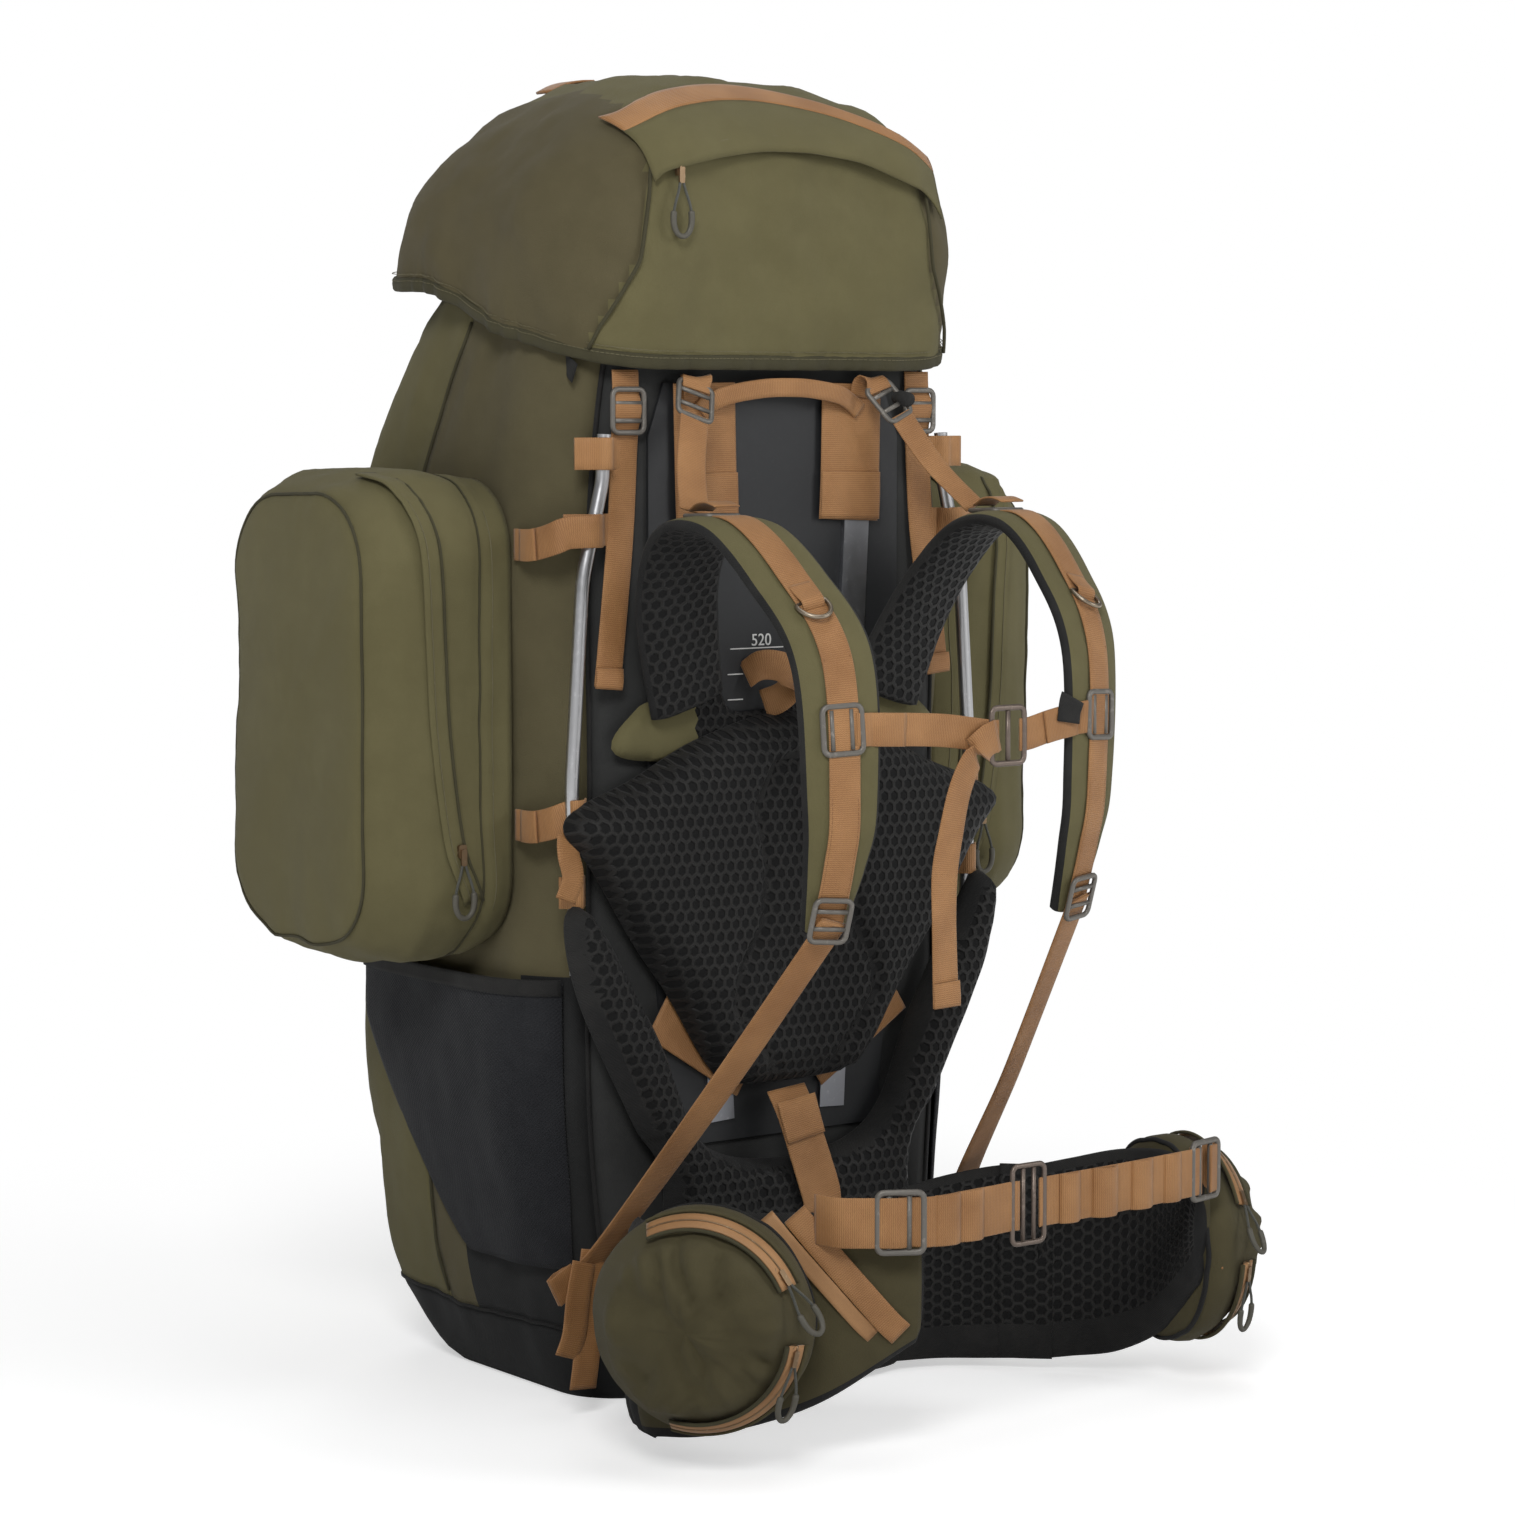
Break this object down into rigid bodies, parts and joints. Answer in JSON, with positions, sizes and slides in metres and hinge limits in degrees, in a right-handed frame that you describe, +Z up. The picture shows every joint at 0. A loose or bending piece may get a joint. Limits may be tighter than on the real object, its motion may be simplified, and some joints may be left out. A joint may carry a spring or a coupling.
{
  "type": "hunting backpack",
  "caption": "Large external-frame pack with a top lid, side pockets, a padded shoulder harness and a padded hip belt with zipped pockets.",
  "frame": {"origin": "middle of the flat base panel, on the surface the pack stands on", "axes": "+Z up, from the base to the lid; -Y towards the wearer; +X to the right as seen when facing the harness, which is the wearer's left; names with left are on the -X side"},
  "size_m": [0.677, 0.6339, 1.058],
  "materials": {
    "pack_fabric": "tightly woven waxed cotton blend, olive green, matt",
    "dark_fabric": "black coated nylon, matt",
    "base_fabric": "black hard-wearing ripstop nylon, matt",
    "stretch_fabric": "blue-black ribbed stretch weave, matt",
    "board_plastic": "moulded, matt",
    "alloy": "satin anodised",
    "webbing": "ribbed nylon webbing, tan, slight sheen",
    "mesh_padding": "black hexagonal spacer mesh over foam, matt",
    "buckle_metal": "cast, grey-brown coating, satin",
    "hook_metal": "flat alloy plate, bronze coating, satin",
    "ring_metal": "bent wire, bronze coating, satin",
    "zip_metal": "cast, aged",
    "pull_cord": "braided cord with a moulded grip, grey-green"
  },
  "bodies": {
    "pack": {"bag_back_panel": "dark_fabric", "bag_front_panel": "pack_fabric", "bag_side_panels": "pack_fabric", "bag_base_panel": "base_fabric", "bag_collar": "pack_fabric", "stretch_pockets": "stretch_fabric", "back_board": "board_plastic", "frame_tubes": "alloy", "frame_stays": "alloy", "stay_sleeves": "webbing", "frame_loops": "webbing", "lid_straps": "webbing", "front_hooks": "buckle_metal", "back_ladder_locks": "buckle_metal", "haul_loop": "webbing", "harness_yoke": "pack_fabric", "lumbar_pad": "mesh_padding", "hip_pad_back": "mesh_padding", "belt_anchor_straps": "webbing", "side_pocket_left": "pack_fabric", "side_pocket_right": "pack_fabric"},
    "lid": {"lid": "pack_fabric"},
    "side_zip_left": {"side_zip_left_slider": "zip_metal", "side_zip_left_pull_cord": "pull_cord"},
    "side_zip_right": {"side_zip_right_slider": "zip_metal", "side_zip_right_pull_cord": "pull_cord"},
    "lid_zip": {"lid_zip_slider": "zip_metal", "lid_zip_pull_cord": "pull_cord"},
    "hip_zip_upper_left": {"hip_zip_upper_left_slider": "zip_metal", "hip_zip_upper_left_pull_cord": "pull_cord"},
    "hip_zip_upper_right": {"hip_zip_upper_right_slider": "zip_metal", "hip_zip_upper_right_pull_cord": "pull_cord"},
    "hip_zip_lower_left": {"hip_zip_lower_left_slider": "zip_metal", "hip_zip_lower_left_pull_cord": "pull_cord"},
    "hip_zip_lower_right": {"hip_zip_lower_right_slider": "zip_metal", "hip_zip_lower_right_pull_cord": "pull_cord"},
    "shoulder_left": {"shoulder_pad_left": "mesh_padding", "shoulder_webbing_left": "webbing", "shoulder_locks_left": "buckle_metal", "lower_strap_left": "webbing"},
    "d_ring_left": {"d_ring_left": "ring_metal"},
    "sternum_left": {"sternum_slider_left": "buckle_metal", "sternum_strap_left": "webbing", "sternum_hook": "hook_metal"},
    "hip_wing_left": {"hip_wing_left": "mesh_padding", "hip_pocket_left": "pack_fabric", "hip_webbing_left": "webbing", "hip_lock_left": "buckle_metal", "hip_hook": "hook_metal"},
    "shoulder_right": {"shoulder_pad_right": "mesh_padding", "shoulder_webbing_right": "webbing", "shoulder_locks_right": "buckle_metal", "lower_strap_right": "webbing"},
    "d_ring_right": {"d_ring_right": "ring_metal"},
    "sternum_right": {"sternum_slider_right": "buckle_metal", "sternum_strap_right": "webbing"},
    "hip_wing_right": {"hip_wing_right": "mesh_padding", "hip_pocket_right": "pack_fabric", "hip_webbing_right": "webbing", "hip_lock_right": "buckle_metal"}
  },
  "joints": [
    {"name": "lid_open", "type": "hinge", "parent": "pack", "child": "lid", "pos_m": [0, -0.166, 0.826], "axis": [1, 0, 0], "range_deg": [0, 100]},
    {"name": "lid_zip_run", "type": "hinge", "parent": "lid", "child": "lid_zip", "pos_m": [0, -0.172, 0.617], "axis": [0, 1, 0], "range_deg": [0, 34.9]},
    {"name": "side_zip_left_run", "type": "slide", "parent": "pack", "child": "side_zip_left", "axis": [0, 0, 1], "range_m": [0, 0.22]},
    {"name": "side_zip_right_run", "type": "slide", "parent": "pack", "child": "side_zip_right", "axis": [0, 0, 1], "range_m": [0, 0.22]},
    {"name": "shoulder_right_swing", "type": "hinge", "parent": "pack", "child": "shoulder_right", "pos_m": [0.198, -0.1555, 0.126], "axis": [-0.1436, -0.0025, 0.9896], "range_deg": [0, 20]},
    {"name": "shoulder_left_swing", "type": "hinge", "parent": "pack", "child": "shoulder_left", "pos_m": [-0.198, -0.1555, 0.126], "axis": [-0.1436, 0.0025, -0.9896], "range_deg": [0, 20]},
    {"name": "d_ring_left_turn", "type": "hinge", "parent": "shoulder_left", "child": "d_ring_left", "pos_m": [-0.13381, -0.36487, 0.648], "axis": [-0.9754, 0.0968, -0.1979], "range_deg": [0, 120]},
    {"name": "d_ring_right_turn", "type": "hinge", "parent": "shoulder_right", "child": "d_ring_right", "pos_m": [0.13381, -0.36487, 0.648], "axis": [-0.9754, -0.0968, 0.1979], "range_deg": [0, 120]},
    {"name": "sternum_left_slide", "type": "slide", "parent": "shoulder_left", "child": "sternum_left", "axis": [0, 0.049, 0.9988], "range_m": [-0.05, 0.012]},
    {"name": "sternum_right_slide", "type": "slide", "parent": "shoulder_right", "child": "sternum_right", "axis": [0, 0.049, 0.9988], "range_m": [-0.05, 0.012]},
    {"name": "hip_wing_left_swing", "type": "hinge", "parent": "pack", "child": "hip_wing_left", "pos_m": [-0.2112, -0.241, 0.09], "axis": [0, 0, -1], "range_deg": [0, 60]},
    {"name": "hip_wing_right_swing", "type": "hinge", "parent": "pack", "child": "hip_wing_right", "pos_m": [0.1985, -0.233, 0.09], "axis": [0, 0, 1], "range_deg": [0, 35]},
    {"name": "hip_zip_upper_left_run", "type": "hinge", "parent": "hip_wing_left", "child": "hip_zip_upper_left", "pos_m": [-0.186, -0.316, 0.116], "axis": [-0.7779, -0.6283, 0], "range_deg": [0, 70]},
    {"name": "hip_zip_lower_left_run", "type": "hinge", "parent": "hip_wing_left", "child": "hip_zip_lower_left", "pos_m": [-0.186, -0.316, 0.116], "axis": [0.7779, 0.6283, 0], "range_deg": [0, 80]},
    {"name": "hip_zip_upper_right_run", "type": "hinge", "parent": "hip_wing_right", "child": "hip_zip_upper_right", "pos_m": [0.243, -0.322, 0.116], "axis": [-0.9752, 0.2212, 0], "range_deg": [0, 70]},
    {"name": "hip_zip_lower_right_run", "type": "hinge", "parent": "hip_wing_right", "child": "hip_zip_lower_right", "pos_m": [0.243, -0.322, 0.116], "axis": [0.9752, -0.2212, 0], "range_deg": [0, 80]}
  ],
  "couplings": [
    {"joint": "sternum_right_slide", "follows": "sternum_left_slide", "ratio": 1}
  ]
}
